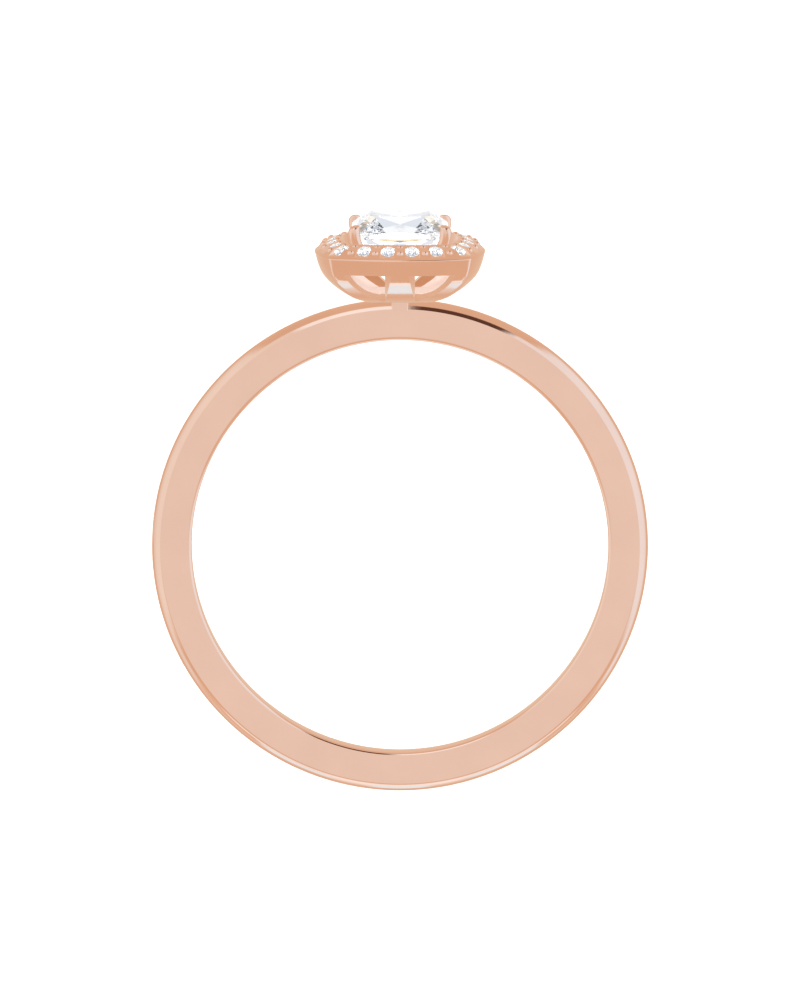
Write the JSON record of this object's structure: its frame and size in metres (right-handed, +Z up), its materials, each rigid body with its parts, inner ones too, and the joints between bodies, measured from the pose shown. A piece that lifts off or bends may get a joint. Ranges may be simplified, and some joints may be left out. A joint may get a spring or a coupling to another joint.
{
  "type": "halo ring",
  "caption": "Rose gold finger ring with a narrow domed band, an open gallery and a cushion halo of round stones around a square centre stone held by claws.",
  "frame": {"origin": "middle of the box's floor, with the ring lying on its side as it rests by itself", "axes": "+X across the ring, +Y from the far side of the band to the head, +Z up; the finger hole leans 7.4 degrees from +Z towards -Y, because the halo's edge rests on the floor beside the far side of the band"},
  "size_m": [0.0206, 0.0242, 0.007],
  "materials": {
    "rose_gold": "polished rose gold",
    "diamond": "clear faceted gemstone"
  },
  "bodies": {
    "root": {"ring_mount": "rose_gold", "centre_stone": "diamond", "halo_stone_01": "diamond", "halo_stone_02": "diamond", "halo_stone_03": "diamond", "halo_stone_04": "diamond", "halo_stone_05": "diamond", "halo_stone_06": "diamond", "halo_stone_07": "diamond", "halo_stone_08": "diamond", "halo_stone_09": "diamond", "halo_stone_10": "diamond", "halo_stone_11": "diamond", "halo_stone_12": "diamond", "halo_stone_13": "diamond", "halo_stone_14": "diamond", "halo_stone_15": "diamond", "halo_stone_16": "diamond", "halo_stone_17": "diamond", "halo_stone_18": "diamond", "halo_stone_19": "diamond", "halo_stone_20": "diamond"}
  },
  "joints": []
}
